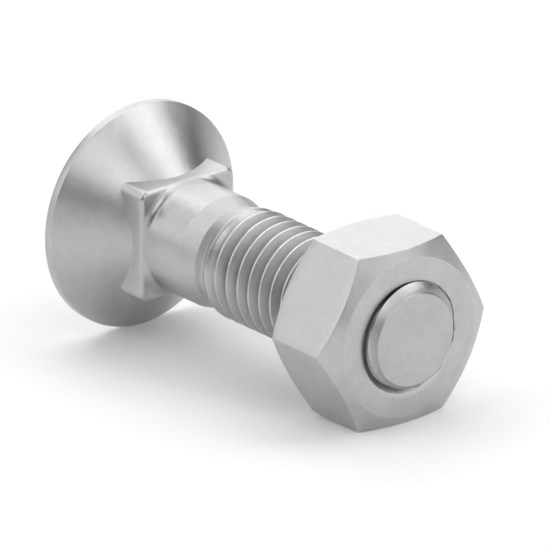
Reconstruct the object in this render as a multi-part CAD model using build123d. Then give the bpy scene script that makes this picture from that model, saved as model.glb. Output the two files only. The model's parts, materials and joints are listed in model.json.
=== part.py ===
from build123d import *
from math import asin, atan2, cos, degrees, hypot, radians, tan
import os

# A plough-type countersunk bolt with its hexagon nut, in millimetres, right-hand thread M12 x 1.75.
# Each piece is built with the bolt's axis along +X: the head's flat face is at x = 0 and the nut is
# towards the free end. Both are then laid down together on the floor, as the bolt comes to rest.

# Thread of the pair. Its helix is fine detail, so the solids carry its plain outside diameter.
nominal_diameter = 12.0
pitch = 1.75
thread_allowance = 0.05

# Bolt
bolt_length = 45.0
head_diameter = 24.0
rim_thickness = 1.0
rim_edge_radius = 0.15
countersink_angle = 90.0
neck_side = 12.1
neck_past_cone = 1.475
neck_corner_radius = 1.0
neck_edge_radius = 0.5
shoulder_fillet = 1.0
plain_shank_length = 5.5
relief_width = 4.4

# Hexagon nut, screwed on until the bolt's tip stands out of it by tip_projection
across_flats = 19.0
nut_height = 10.0
tip_projection = 1.0
nut_face_diameter = 17.1
nut_chamfer_angle = 30.0
bore_mouth_chamfer = 0.1

# Worked out from the above. The thread's profile is cut from a triangle of 60 degrees: its flanks are
# as wide as the gaps at the pitch diameter, which is the groove's floor too.
triangle_height = pitch * cos(radians(30))
core_diameter = nominal_diameter - 17 / 12 * triangle_height
relief_diameter = nominal_diameter - 3 / 4 * triangle_height
shank_diameter = nominal_diameter - thread_allowance
shank_radius = shank_diameter / 2
head_radius = head_diameter / 2
end_chamfer = (shank_diameter - core_diameter) / 2
cone_slope = tan(radians(countersink_angle / 2))
cone_end = rim_thickness + (head_radius - shank_radius) / cone_slope
neck_end = cone_end + neck_past_cone
relief_start = neck_end + plain_shank_length
thread_start = relief_start + relief_width
flat_radius = across_flats / 2
face_radius = nut_face_diameter / 2
nut_end = bolt_length - tip_projection
nut_position = nut_end - nut_height
flat_chamfer = (flat_radius - face_radius) * tan(radians(nut_chamfer_angle))


def turned(outline):
    """A solid of revolution about X from an outline of (x, radius) points, closed along the axis."""
    points = [(outline[0][0], 0), *outline, (outline[-1][0], 0)]
    face = make_face(Polyline(*points, close=True))
    return revolve(face, Axis.X, 360)


def head_and_shank():
    """The turned form: rim, cone, plain shank, relief groove, threaded end and its chamfer."""
    return turned([
        (0, head_radius),
        (rim_thickness, head_radius),
        (cone_end, shank_radius),
        (relief_start, shank_radius),
        (relief_start + relief_width / 2, relief_diameter / 2),
        (thread_start, shank_radius),
        (bolt_length - end_chamfer, shank_radius),
        (bolt_length, core_diameter / 2),
    ])


def square_neck():
    """The square that stops the bolt turning, with rounded corners and a rounded shoulder edge."""
    section = Plane.YZ.offset(rim_thickness) * RectangleRounded(neck_side, neck_side, neck_corner_radius)
    block = extrude(section, neck_end - rim_thickness)
    shoulder = block.faces().sort_by(Axis.X)[-1]
    return fillet(shoulder.edges(), neck_edge_radius)


def on_shoulder(edge):
    """Whether an edge is one of those where the square's shoulder, flat or rounded, meets the shank."""
    points = (edge @ 0, edge @ 0.5, edge @ 1)
    slack = 0.01
    return all(
        abs(hypot(point.Y, point.Z) - shank_radius) < slack
        and neck_end - neck_edge_radius < point.X < neck_end + slack
        for point in points
    )


def make_bolt():
    """The whole bolt, one forged piece."""
    body = head_and_shank()
    circles = body.edges().filter_by(GeomType.CIRCLE)
    rim_edges = circles.group_by(lambda edge: edge.radius)[-1]
    body = fillet(rim_edges, rim_edge_radius) + square_neck()
    # The fillet rolls off the shoulder's flat on to its rounded edge, so it fades out at the middle
    # of each side, where the shank comes out nearly flush with the square.
    return fillet(body.edges().filter_by(on_shoulder), shoulder_fillet)


def make_nut():
    """A hexagon chamfered on both faces, bored to the thread's outside diameter."""
    blank = extrude(Plane.YZ.offset(nut_position) * RegularPolygon(
        flat_radius, 6, major_radius=False), nut_height)
    # Two cones, meeting at the middle of the height outside the corners, chamfer both faces.
    cone_height = nut_height / 2
    chamfers = turned([
        (nut_position, face_radius),
        (nut_position + cone_height, face_radius + cone_height / tan(radians(nut_chamfer_angle))),
        (nut_end, face_radius),
    ])
    mouth = nominal_diameter / 2 + bore_mouth_chamfer
    bore = turned([
        (nut_position, mouth),
        (nut_position + bore_mouth_chamfer, nominal_diameter / 2),
        (nut_end - bore_mouth_chamfer, nominal_diameter / 2),
        (nut_end, mouth),
    ])
    return (blank & chamfers) - bore


# Lying at rest, the rim's edge and the nut's lower flat touch the floor, so the axis tips down
# towards the nut by this angle.
run = nut_end - flat_chamfer - (rim_thickness - rim_edge_radius)
drop = head_radius - rim_edge_radius - flat_radius
rest_tilt = degrees(atan2(drop, run) + asin(rim_edge_radius / hypot(run, drop)))

pieces = {"bolt": make_bolt(), "hex_nut": make_nut()}
laid = {name: Rot(0, rest_tilt, 0) * piece for name, piece in pieces.items()}
boxes = [piece.bounding_box() for piece in laid.values()]
footprint_middle = (min(box.min.X for box in boxes) + max(box.max.X for box in boxes)) / 2
floor_height = min(box.min.Z for box in boxes)

os.makedirs("parts", exist_ok=True)
for name, piece in laid.items():
    export_step(Pos(-footprint_middle, 0, -floor_height) * piece, f"parts/{name}.step")
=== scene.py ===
import json
from math import cos, pi, radians, sin, sqrt, tan

import bmesh
import bpy
import numpy as np
from mathutils import Matrix, Vector


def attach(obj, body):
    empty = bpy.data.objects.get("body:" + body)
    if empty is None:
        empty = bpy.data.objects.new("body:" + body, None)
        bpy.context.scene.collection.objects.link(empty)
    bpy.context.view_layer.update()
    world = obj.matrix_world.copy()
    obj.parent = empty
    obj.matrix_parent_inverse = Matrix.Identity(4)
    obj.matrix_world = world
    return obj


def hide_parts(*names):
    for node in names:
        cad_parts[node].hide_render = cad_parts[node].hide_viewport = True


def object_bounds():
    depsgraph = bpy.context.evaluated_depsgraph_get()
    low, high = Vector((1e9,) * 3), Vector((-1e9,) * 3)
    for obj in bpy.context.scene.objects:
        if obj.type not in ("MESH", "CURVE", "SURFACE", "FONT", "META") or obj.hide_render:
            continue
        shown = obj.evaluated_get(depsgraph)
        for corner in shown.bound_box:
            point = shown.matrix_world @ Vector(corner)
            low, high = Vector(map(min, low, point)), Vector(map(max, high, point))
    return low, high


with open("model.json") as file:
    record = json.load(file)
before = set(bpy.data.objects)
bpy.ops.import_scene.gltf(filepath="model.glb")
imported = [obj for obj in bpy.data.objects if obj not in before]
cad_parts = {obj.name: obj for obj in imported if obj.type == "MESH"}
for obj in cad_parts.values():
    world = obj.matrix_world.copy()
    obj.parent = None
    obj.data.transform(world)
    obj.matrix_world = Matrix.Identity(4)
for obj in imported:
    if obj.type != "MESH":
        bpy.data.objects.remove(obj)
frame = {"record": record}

cad_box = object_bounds()
MM = 0.001

# Sizes of the bolt, in millimetres along and round its own axis: x = 0 is the head's flat face.
NOMINAL_RADIUS = 6.0
SHANK_RADIUS = 5.975
HEAD_RADIUS = 12.0
RIM = 1.0
RIM_EDGE = 0.15
CONE_FOOT = 0.06
NECK_HALF = 6.05
NECK_CORNER = 1.0
NECK_EDGE = 0.5
NECK_END = 8.5
SHOULDER_BALL = 1.0
GROOVE_START = 14.0
GROOVE_END = 18.4
GROOVE_MIDDLE = (GROOVE_START + GROOVE_END) / 2
BOLT_LENGTH = 45.0

# Sizes of the nut, whose faces are at these stations of the bolt at rest.
NUT_START = 34.0
NUT_END = 44.0
NUT_HALF = 9.5
NUT_CORNER = 0.2
NUT_EDGE = 0.08
NUT_FACE_RADIUS = 8.55
NUT_MOUTH_RADIUS = 6.1

# M12 x 1.75 thread. An apex is the radius at which the two flanks of a crest would meet.
PITCH = 1.75
TRIANGLE = PITCH * cos(pi / 6)
FLANK = tan(pi / 3)
CORE_RADIUS = NOMINAL_RADIUS - 17 / 24 * TRIANGLE
GROOVE_RADIUS = NOMINAL_RADIUS - 3 / 8 * TRIANGLE
BOLT_APEX = SHANK_RADIUS + TRIANGLE / 8
ROOT_ROUNDING = CORE_RADIUS + TRIANGLE - BOLT_APEX
NUT_CLEARANCE = 0.015
NUT_APEX = NOMINAL_RADIUS + TRIANGLE / 8 + NUT_CLEARANCE
NUT_MINOR = NOMINAL_RADIUS - 5 / 8 * TRIANGLE
NUT_MAJOR = 6.03

# The bolt's thread deepens from nothing to full between these stations.
RUN_OUT_START = 17.4
RUN_OUT_END = 20.4

# The mesh's columns over one pitch, as shares of it from a crest: close beside the edge of the crest's flat,
# down the flank to where the root's rounding starts, and round the root.
CREST_SHARE = 1 / 16
ROOT_SHARE = 0.5 - ROOT_ROUNDING * cos(pi / 6) / PITCH
BESIDE = 0.005
HALF_PITCH = (CREST_SHARE - BESIDE, CREST_SHARE + BESIDE, 0.08, 0.17, 0.26, 0.345, ROOT_SHARE, 0.405, 0.4525)
WHOLE_PITCH = (0.0, *HALF_PITCH, 0.5, *(1 - share for share in reversed(HALF_PITCH)))

# Columns stand this near to the groove's creases, which keeps the creases crisp.
CREASE = 0.07

# In metres: points nearer than the first become one, and edges shorter than the second are taken out.
SAME_POINT = 2e-7
TINY = 1e-7

# An edge is drawn sharp where its two faces turn by more than this many degrees.
SHARP_ANGLE = 32

# The mesh attribute that holds each vertex's curvature, for the wear of edges and the painted shade in
# recesses.
BEND = "bend"


def mount(name, key):
    found = next(m for m in frame["record"]["mounts"] if m["name"] == name)
    return Vector(found[key])


# The bolt's own frame, as the record's mounts give it.
HEAD_POINT = mount("head_face", "pos_m")
AXIS = mount("thread", "axis")
SIDE = Vector((0, 1, 0))
LAY = Matrix((AXIS, SIDE, AXIS.cross(SIDE))).transposed()


def laid(points):
    """Points of the bolt's own frame, in mm, as points of the row frame, in metres."""
    return points * MM @ np.array(LAY).T + np.array(HEAD_POINT)


def polar(x, radius, angle):
    """Points at station x and polar angle, counted from +Y towards +Z."""
    x, radius, angle = np.broadcast_arrays(x, radius, angle)
    return np.stack([x, radius * np.cos(angle), radius * np.sin(angle)], -1)


def between(a, b, steps):
    """Columns strictly between two columns of points, on straight lines."""
    return [a + (b - a) * i / steps for i in range(1, steps)]


def slerp(a, b, t):
    """Unit vectors turned from a to b by the share t."""
    angle = np.arccos(np.clip((a * b).sum(-1, keepdims=True), -1, 1))
    return (a * np.sin((1 - t) * angle) + b * np.sin(t * angle)) / np.sin(angle)


def unit(vectors):
    return vectors / np.linalg.norm(vectors, axis=-1, keepdims=True)


def fillet_profile(corners, steps):
    """(x, radius) columns along a profile whose corners are (x, radius, rounding), rounded by arcs."""
    flat = np.broadcast_arrays(*(value for corner in corners for value in corner[:2]))
    spots = [np.stack(pair, -1).astype(float) for pair in zip(flat[::2], flat[1::2])]
    columns = [spots[0]]
    for before, spot, after, (_, _, rounding) in zip(spots, spots[1:], spots[2:], corners[1:]):
        if not rounding:
            columns.append(spot)
            continue
        a = unit(spot - before)
        b = unit(after - spot)
        out = unit(a - b)
        along = unit(a + b)
        half = np.arccos(np.clip((a * b).sum(-1, keepdims=True), -1, 1)) / 2
        centre = spot - out * rounding / np.cos(half)
        for i in range(steps + 1):
            turn = half * (2 * i / steps - 1)
            columns.append(centre + rounding * (out * np.cos(turn) + along * np.sin(turn)))
    columns.append(spots[-1])
    return columns


def from_crest(x, angle):
    """Distance along the axis from the nearest crest of the bolt's thread."""
    phase = (x - PITCH * angle / (2 * pi)) / PITCH
    return np.abs(phase - np.round(phase)) * PITCH


def thread_columns(start, end, angles, radius):
    """Columns that follow the helix from station start to end, cut off square at both."""
    columns = []
    for turn in range(int(start / PITCH) - 1, int(end / PITCH) + 2):
        for share in WHOLE_PITCH:
            x = np.clip(PITCH * (turn + share + angles / (2 * pi)), start, end)
            columns.append(polar(x, radius(x, angles), angles))
    return columns


def smoothstep(x, low, high):
    t = np.clip((x - low) / (high - low), 0, 1)
    return t * t * (3 - 2 * t)


def root_radius(u):
    """Radius in the bolt's rounded thread root, at the distance u from the crest."""
    from_middle = np.clip(PITCH / 2 - u, 0, ROOT_ROUNDING * cos(pi / 6))
    return CORE_RADIUS + ROOT_ROUNDING - np.sqrt(ROOT_ROUNDING**2 - from_middle**2)


def bolt_radius(x, angle):
    """Radius of the grooved, threaded and chamfered part of the bolt."""
    into_groove = np.clip(1 - np.abs(x - GROOVE_MIDDLE) / (GROOVE_END - GROOVE_MIDDLE), 0, 1)
    plain = SHANK_RADIUS - (SHANK_RADIUS - GROOVE_RADIUS) * into_groove
    u = from_crest(x, angle)
    threaded = np.minimum(BOLT_APEX - FLANK * u, SHANK_RADIUS)
    threaded = np.where(u > ROOT_SHARE * PITCH, root_radius(u), threaded)
    cut = (SHANK_RADIUS - threaded) * smoothstep(x, RUN_OUT_START, RUN_OUT_END)
    return np.minimum(plain - cut, CORE_RADIUS + BOLT_LENGTH - x)


def nut_radius(x, angle):
    """Radius of the nut's threaded bore, with a countersunk mouth at each face."""
    threaded = np.clip(NUT_APEX - FLANK * from_crest(x, angle), NUT_MINOR, NUT_MAJOR)
    depth = np.minimum(x - NUT_START, NUT_END - x)
    return np.maximum(threaded, NUT_MOUTH_RADIUS - FLANK * depth)


def sharpest_bend(work):
    """The largest curvature at each vertex, in 1/mm, positive on convex edges and negative in recesses."""
    work.verts.index_update()
    bend = np.zeros(len(work.verts))
    for edge in work.edges:
        if not edge.is_manifold:
            continue
        one, other = (face.calc_center_median() for face in edge.link_faces)
        curvature = edge.calc_face_angle_signed(0.0) * MM / max((one - other).length, TINY)
        for vert in edge.verts:
            if abs(curvature) > abs(bend[vert.index]):
                bend[vert.index] = curvature
    return bend


def skin(name, columns, closed):
    """A watertight mesh from columns of points. Each column has one point a row, all round the axis, and
    an extra last row that falls on the first one. A closed skin joins its last column to its first."""
    grid = np.stack(columns, 1)
    rows, count = grid.shape[:2]
    index = np.arange(rows * count).reshape(rows, count)
    faces = [
        (index[j, k], index[j, k + 1], index[j + 1, k + 1], index[j + 1, k])
        for j in range(rows - 1) for k in range(count - 1)
    ]
    if closed:
        faces += [(index[j, -1], index[j, 0], index[j + 1, 0], index[j + 1, -1]) for j in range(rows - 1)]
    mesh = bpy.data.meshes.new(name)
    mesh.from_pydata(laid(grid.reshape(-1, 3)).tolist(), [], [tuple(map(int, face)) for face in faces])
    work = bmesh.new()
    work.from_mesh(mesh)
    bmesh.ops.remove_doubles(work, verts=work.verts, dist=SAME_POINT)
    bmesh.ops.dissolve_degenerate(work, edges=work.edges, dist=TINY)
    bmesh.ops.recalc_face_normals(work, faces=work.faces)
    if work.calc_volume(signed=True) < 0:
        bmesh.ops.reverse_faces(work, faces=work.faces)
    for face in work.faces:
        face.smooth = True
    open_edges = sum(not edge.is_manifold for edge in work.edges)
    bend = sharpest_bend(work)
    work.to_mesh(mesh)
    work.free()
    mesh.attributes.new(BEND, "FLOAT", "POINT").data.foreach_set("value", bend)
    mesh.set_sharp_from_angle(angle=radians(SHARP_ANGLE))
    piece = bpy.data.objects.new(name, mesh)
    bpy.context.scene.collection.objects.link(piece)
    print(name, "triangles", sum(len(p.vertices) - 2 for p in mesh.polygons), "open edges", open_edges)
    return piece


def neck_rows(flat_steps, edge_steps, corner_steps):
    """The rows round the square neck, as (side, distance along the side, corner angle)."""
    reach = NECK_HALF - NECK_CORNER
    touch = sqrt((SHANK_RADIUS + SHOULDER_BALL) ** 2 - (NECK_HALF - NECK_EDGE) ** 2)
    flat = [
        *np.linspace(-reach, -touch, edge_steps + 1)[:-1],
        *np.linspace(-touch, touch, flat_steps + 1),
        *np.linspace(touch, reach, edge_steps + 1)[1:],
    ]
    one_side = [(t, 0.0) for t in flat]
    one_side += [(reach, beta) for beta in np.linspace(0, pi / 2, corner_steps + 1)[1:-1]]
    rows = [(side, t, beta) for side in range(4) for t, beta in one_side]
    rows.append((4, *one_side[0]))
    return np.array(rows).T


def make_bolt():
    side, along, beta = neck_rows(flat_steps=24, edge_steps=3, corner_steps=8)
    turn = side * pi / 2
    on_corner = beta > 0

    def section(inset):
        """The square neck's outline at that inset, as distance out from the side, and along it."""
        corner = NECK_HALF - NECK_CORNER
        round_off = NECK_CORNER - inset
        out = np.where(on_corner, corner + round_off * np.cos(beta), NECK_HALF - inset)
        return out, np.where(on_corner, corner + round_off * np.sin(beta), along)

    def placed(x, out, across):
        x, out, across = np.broadcast_arrays(x, out, across)
        return np.stack([x, out * np.cos(turn) - across * np.sin(turn),
                         out * np.sin(turn) + across * np.cos(turn)], -1)

    out, across = section(0)
    neck_radius = np.hypot(out, across)
    neck_angle = np.arctan2(across, out) + turn
    cone_end = RIM + HEAD_RADIUS - neck_radius
    edge_line = NECK_END - NECK_EDGE

    # The head: its flat face, the rim's two rounded edges, the cone, and the neck's sides.
    face_radii = (0, 0.6, 2, 4, 6.5, 9.0)
    round_steps = 5
    rim_end = 2 * (round_steps + 1)
    head = fillet_profile([
        (0 * neck_radius, face_radii[-1], 0),
        (0, HEAD_RADIUS, RIM_EDGE),
        (RIM, HEAD_RADIUS, RIM_EDGE),
        (cone_end, neck_radius, CONE_FOOT),
        (edge_line, neck_radius, 0),
    ], round_steps)
    head = [polar(column[:, 0], column[:, 1], neck_angle) for column in head[1:]]
    columns = [polar(0, radius, neck_angle) for radius in face_radii]
    columns += head[:rim_end]
    columns += between(head[rim_end - 1], head[rim_end], steps=8)
    columns += head[rim_end:-1]
    columns += between(head[-2], head[-1], steps=4)

    # The shoulder's rounded edge, as far round as the ball that rolls round the shank touches it. The
    # ball touches the shoulder's flat near the corners, and the rounded edge elsewhere.
    ball_path = SHANK_RADIUS + SHOULDER_BALL
    ball_to_edge = SHOULDER_BALL + NECK_EDGE
    inner_out, inner_across = section(NECK_EDGE)
    slack = 1e-9
    on_edge = ~on_corner & (np.hypot(inner_out, inner_across) < ball_path + slack)
    on_flat_angle = np.arctan2(inner_across, inner_out)
    local = np.where(on_edge, np.arcsin(np.clip(across / ball_path, -1, 1)), on_flat_angle)
    angle = local + turn
    reach = np.where(on_edge, ball_path * np.cos(local) - (NECK_HALF - NECK_EDGE), 0)
    ball_x = np.where(on_edge, edge_line + np.sqrt(ball_to_edge**2 - reach**2), NECK_END + SHOULDER_BALL)
    edge_turn = np.where(on_edge, np.arccos(reach / ball_to_edge), pi / 2)
    edge_steps = 8
    for i in range(edge_steps + 1):
        theta = edge_turn * i / edge_steps
        out, across = section(NECK_EDGE * (1 - np.cos(theta)))
        columns.append(placed(edge_line + NECK_EDGE * np.sin(theta), out, across))

    # The shoulder's flat, and the fillet that the ball leaves against the shank.
    flat_end = polar(np.where(on_edge, ball_x, NECK_END), ball_path, angle)
    flat_end = np.where(on_edge[:, None], columns[-1], flat_end)
    columns += between(columns[-1], flat_end, steps=3)
    columns.append(flat_end)
    centre = polar(ball_x, ball_path, angle)
    start = (flat_end - centre) / SHOULDER_BALL
    finish = -polar(0, 1.0, angle)
    fillet_steps = 9
    for i in range(1, fillet_steps + 1):
        columns.append(centre + SHOULDER_BALL * slerp(start, finish, i / fillet_steps))

    # The plain shank, the groove, the thread with its chamfered end, and the tip's flat face.
    shank_end = polar(GROOVE_START - CREASE, SHANK_RADIUS, angle)
    columns += between(columns[-1], shank_end, steps=6)
    columns.append(shank_end)
    groove_stations = [GROOVE_START + step for step in (0, CREASE, 0.8, 1.6)]
    groove_stations += [GROOVE_MIDDLE + k * CREASE for k in range(-2, 3)]
    columns += [polar(x, bolt_radius(x, angle), angle) for x in groove_stations]
    helix_start = GROOVE_MIDDLE + 0.2
    columns += thread_columns(helix_start, BOLT_LENGTH, angle, bolt_radius)
    tip_radii = (4.9, 4.0, 3.0, 2.0, 1.0, 0.4, 0)
    columns += [polar(BOLT_LENGTH, radius, angle) for radius in tip_radii]
    return skin("plough_bolt", columns, closed=False)


def make_nut():
    half_side = (NUT_HALF - NUT_CORNER) * tan(pi / 6)
    side_steps = 18
    corner_steps = 5
    one_side = [(t, 0.0) for t in np.linspace(-half_side, half_side, side_steps + 1)]
    one_side += [(half_side, beta) for beta in np.linspace(0, pi / 3, corner_steps + 1)[1:-1]]
    rows = [(side, t, beta) for side in range(6) for t, beta in one_side]
    rows.append((6, *one_side[0]))
    side, along, beta = np.array(rows).T
    out = NUT_HALF - NUT_CORNER + NUT_CORNER * np.cos(beta)
    across = along + NUT_CORNER * np.sin(beta)
    radius = np.hypot(out, across)
    angle = np.arctan2(across, out) + side * pi / 3 + pi / 6
    drop = (radius - NUT_FACE_RADIUS) * tan(pi / 6)
    round_steps = 4
    outer = fillet_profile([
        (NUT_END + 0 * radius, NUT_MOUTH_RADIUS, 0),
        (NUT_END, NUT_FACE_RADIUS, NUT_EDGE),
        (NUT_END - drop, radius, NUT_EDGE),
        (NUT_START + drop, radius, NUT_EDGE),
        (NUT_START, NUT_FACE_RADIUS, NUT_EDGE),
        (NUT_START, NUT_MOUTH_RADIUS, 0),
    ], round_steps)
    outer = [polar(column[:, 0], column[:, 1], angle) for column in outer]

    # Between the rounded edges, the face, chamfer, flat, chamfer and face are divided into these steps.
    divisions = {k * (round_steps + 1): steps for k, steps in enumerate((4, 5, 8, 5, 4))}
    columns = []
    for k, (column, following) in enumerate(zip(outer, outer[1:])):
        columns.append(column)
        columns += between(column, following, divisions.get(k, 1))
    columns.append(outer[-1])
    columns += thread_columns(NUT_START, NUT_END, angle, nut_radius)
    return skin("hexagon_nut", columns, closed=True)


class Shading:
    """Short calls for the nodes of one material."""

    def __init__(self, name):
        self.material = bpy.data.materials.new(name)
        self.material.use_nodes = True
        self.tree = self.material.node_tree
        self.shader = self.tree.nodes["Principled BSDF"]

    def add(self, kind, settings=None, **inputs):
        """A node with its settings, and inputs that are numbers or other nodes' outputs."""
        node = self.tree.nodes.new("ShaderNode" + kind)
        for key, value in (settings or {}).items():
            setattr(node, key, value)
        for key, value in inputs.items():
            self.put(node.inputs[key.replace("_", " ")], value)
        return node

    def put(self, socket, value):
        if isinstance(value, bpy.types.NodeSocket):
            self.tree.links.new(value, socket)
        else:
            socket.default_value = value

    def math(self, operation, a, b=0.0):
        node = self.tree.nodes.new("ShaderNodeMath")
        node.operation = operation
        self.put(node.inputs[0], a)
        self.put(node.inputs[1], b)
        return node.outputs[0]

    def vector(self, operation, a, b):
        node = self.tree.nodes.new("ShaderNodeVectorMath")
        node.operation = operation
        self.put(node.inputs[0], a)
        self.put(node.inputs[1], b)
        return node.outputs["Value" if operation == "DOT_PRODUCT" else "Vector"]

    def plus(self, total, *parts):
        """The total with each (value, weight) of the parts added."""
        for value, weight in parts:
            total = self.math("ADD", total, self.math("MULTIPLY", value, weight))
        return total

    def ramp(self, value, low, high, to_low=0.0, to_high=1.0):
        """The value taken smoothly from low..high to to_low..to_high."""
        node = self.add("MapRange", {"interpolation_type": "SMOOTHSTEP"}, Value=value, From_Min=low,
                        From_Max=high, To_Min=to_low, To_Max=to_high)
        return node.outputs[0]

    def noise(self, vector, scale, detail, roughness, distortion=0.0):
        node = self.add("TexNoise", Vector=vector, Scale=scale, Detail=detail, Roughness=roughness,
                        Distortion=distortion)
        return node.outputs[0]

    def rings(self, radius, scale):
        node = self.add("TexNoise", {"noise_dimensions": "1D"}, W=radius, Scale=scale, Detail=3.0)
        return node.outputs[0]


def steel(name, base, satin, forged, seed):
    """Satin zinc-plated steel. Lengths in it are millimetres of the bolt's own frame."""
    m = Shading(name)
    where = m.add("TexCoord").outputs
    place = m.add("Mapping", {"vector_type": "TEXTURE"}, Vector=where["Object"], Location=HEAD_POINT,
                  Rotation=LAY.to_euler(), Scale=(MM, MM, MM)).outputs[0]
    spot = m.vector("ADD", place, (seed, seed * 1.7, seed * 0.6))
    station, across, up = m.add("SeparateXYZ", Vector=place).outputs
    radius = m.math("SQRT", m.math("ADD", m.math("MULTIPLY", across, across), m.math("MULTIPLY", up, up)))
    square_on = m.ramp(m.math("ABSOLUTE", m.vector("DOT_PRODUCT", where["Normal"], AXIS)), 0.93, 0.99)

    # The plating's tone drifts over a few millimetres, with fine grain in it. The faces square to the axis
    # have the rings of their turning.
    drift = m.noise(spot, 0.22, 3.0, 0.55, 0.4)
    cloud = m.noise(spot, 1.1, 4.0, 0.6)
    grain = m.noise(spot, 5.5, 3.0, 0.65)
    speck = m.math("SUBTRACT", grain, 0.5)
    ring = m.math("MULTIPLY", m.math("SUBTRACT", m.rings(radius, 5.0), 0.5), square_on)

    # Handling polishes the edges. The thread's roots and the inner corners get painted shade, a darkening of
    # their colour, and the roots are also made rougher.
    bend = m.add("Attribute", {"attribute_name": BEND}).outputs["Fac"]
    wear = m.math("MULTIPLY", m.ramp(bend, 1.0, 6.0), m.ramp(cloud, 0.35, 0.6, 0.4, 1.0))
    # Painted shade: a mask of the inner corners, whose colour is darkened below.
    recess_painted_shade = m.ramp(bend, -6.0, -0.5, 1.0, 0.0)
    threaded = m.ramp(station, GROOVE_START + 1.0, GROOVE_END)
    # Painted shade: a mask of the thread's roots, whose colour is darkened below and whose roughness is
    # raised.
    root = m.math("MULTIPLY", m.ramp(radius, CORE_RADIUS, SHANK_RADIUS - 0.15, 1.0, 0.0), threaded)
    root = m.math("MULTIPLY", root, m.math("SUBTRACT", 1.0, square_on))

    shade = m.math("ADD", m.ramp(drift, 0.3, 0.7, -0.06, 0.03), m.ramp(cloud, 0.3, 0.7, -0.03, 0.03))
    # The root and recess terms here darken the colour as painted shade; the rest is the plating's own tone,
    # grain, rings and wear.
    shade = m.plus(shade, (speck, 0.12), (ring, 0.16), (wear, 0.10), (root, -0.16), (recess_painted_shade, -0.12))
    colour = m.add("VectorMath", {"operation": "SCALE"}, Scale=m.math("ADD", shade, 1.0))
    colour.inputs[0].default_value = base
    m.put(m.shader.inputs["Base Color"], colour.outputs[0])
    m.shader.inputs["Metallic"].default_value = 1.0

    rough = m.ramp(drift, 0.3, 0.7, satin - 0.03, satin + 0.04)
    rough = m.plus(rough, (speck, 0.12), (ring, 0.12), (wear, -0.08), (root, 0.1))
    m.put(m.shader.inputs["Roughness"], rough)

    height = m.plus(m.math("MULTIPLY", cloud, forged), (grain, 0.004), (ring, 0.006))
    bump = m.add("Bump", Height=height, Strength=1.0, Distance=MM)
    m.put(m.shader.inputs["Normal"], bump.outputs[0])
    return m.material


def pale_floor(name, grey, glow):
    """Pale for the lamps, and near white for what the camera, gloss and glass see, shadow kept."""
    m = Shading(name)
    m.shader.inputs["Base Color"].default_value = (grey, grey, grey, 1)
    m.shader.inputs["Roughness"].default_value = 0.9
    m.shader.inputs["Specular IOR Level"].default_value = 0.0
    m.shader.inputs["Emission Color"].default_value = (1, 1, 1, 1)
    path = m.add("LightPath").outputs
    seen = m.math("MAXIMUM", path["Is Camera Ray"], path["Is Glossy Ray"])
    seen = m.math("MAXIMUM", seen, path["Is Transmission Ray"])
    m.put(m.shader.inputs["Emission Strength"], m.math("MULTIPLY", seen, glow))
    return m.material


def studio_world(horizon, above):
    """White up to the horizon, like a backdrop, and dim overhead, where the lamps are."""
    world = bpy.data.worlds.new("studio")
    world.use_nodes = True
    tree = world.node_tree
    background = tree.nodes["Background"]
    background.inputs["Color"].default_value = (1, 1, 1, 1)
    way = tree.nodes.new("ShaderNodeTexCoord")
    split = tree.nodes.new("ShaderNodeSeparateXYZ")
    fade = tree.nodes.new("ShaderNodeMapRange")
    for key, value in {"From Min": 0.02, "From Max": 0.25, "To Min": horizon, "To Max": above}.items():
        fade.inputs[key].default_value = value
    tree.links.new(way.outputs["Generated"], split.inputs[0])
    tree.links.new(split.outputs["Z"], fade.inputs["Value"])
    tree.links.new(fade.outputs[0], background.inputs["Strength"])
    return world


# In metres: how far the lamps and the camera stand from the bolt, the width of the camera's picture, and
# how far its middle lies to the right of the middle of the head's flat face, and below it.
LAMP_DISTANCE = 0.5
CAMERA_DISTANCE = 0.4
PHOTO_WIDTH = 0.0559
AIM_RIGHT = 0.01415
AIM_DOWN = 0.00649


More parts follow.
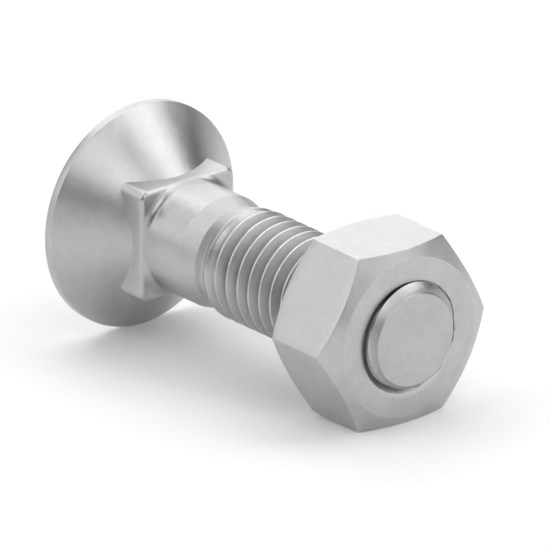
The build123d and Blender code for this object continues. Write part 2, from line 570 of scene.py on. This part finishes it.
def add_lamp(name, azimuth, elevation, size, power):
    """A soft square lamp that shines on the bolt from that direction, in degrees round +X and up."""
    target = (cad_box[0] + cad_box[1]) / 2
    turn, rise = radians(azimuth), radians(elevation)
    way = Vector((cos(turn) * cos(rise), sin(turn) * cos(rise), sin(rise)))
    data = bpy.data.lights.new(name, "AREA")
    data.shape = "SQUARE"
    data.size = size
    data.energy = power
    lamp = bpy.data.objects.new(name, data)
    lamp.location = target + way * LAMP_DISTANCE
    lamp.rotation_euler = way.to_track_quat("Z", "Y").to_euler()
    bpy.context.scene.collection.objects.link(lamp)


def add_camera(turn, rise):
    """A camera without perspective, that many degrees round the bolt's own side view and above it."""
    turn, rise = radians(turn), radians(rise)
    right = LAY @ Vector((cos(turn), sin(turn), 0))
    towards = LAY @ Vector((sin(turn) * cos(rise), -cos(turn) * cos(rise), sin(rise)))
    up = towards.cross(right)
    aim = HEAD_POINT + right * AIM_RIGHT - up * AIM_DOWN
    stand = Matrix.Translation(aim + towards * CAMERA_DISTANCE)
    data = bpy.data.cameras.new("camera")
    data.type = "ORTHO"
    data.ortho_scale = PHOTO_WIDTH
    data.clip_start = 0.01
    data.clip_end = 20
    camera = bpy.data.objects.new("camera", data)
    camera.matrix_world = stand @ Matrix((right, up, towards)).transposed().to_4x4()
    bpy.context.scene.collection.objects.link(camera)
    bpy.context.scene.camera = camera


bolt = make_bolt()
bolt_tone = (0.475, 0.477, 0.481)
bolt.data.materials.append(steel("bolt_zinc", bolt_tone, satin=0.38, forged=0.012, seed=3.0))
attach(bolt, "bolt")
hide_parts("bolt")

nut = make_nut()
nut_tone = (0.49, 0.492, 0.497)
nut.data.materials.append(steel("nut_zinc", nut_tone, satin=0.37, forged=0.006, seed=11.0))
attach(nut, "nut")
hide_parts("hex_nut")

bpy.ops.mesh.primitive_plane_add(size=6, location=(0, 0, 0))
floor = bpy.context.object
floor.name = "floor"
floor.data.materials.append(pale_floor("floor_pale", grey=0.8, glow=0.12))

bpy.context.scene.world = studio_world(horizon=1.0, above=0.03)

add_lamp("key", 68, 57, 0.42, 1.15)
add_lamp("top", 195, 70, 0.40, 0.65)
add_lamp("back", 150, 34, 0.48, 1.25)
add_lamp("left", 236, 35, 0.45, 0.92)
add_lamp("right", 26, 27, 0.50, 0.8)
add_lamp("front", -28, 42, 0.30, 0.6)

# The camera stands to the bolt as the photograph's does.
add_camera(turn=50.85, rise=22.06)

bpy.context.scene.view_settings.view_transform = "Standard"
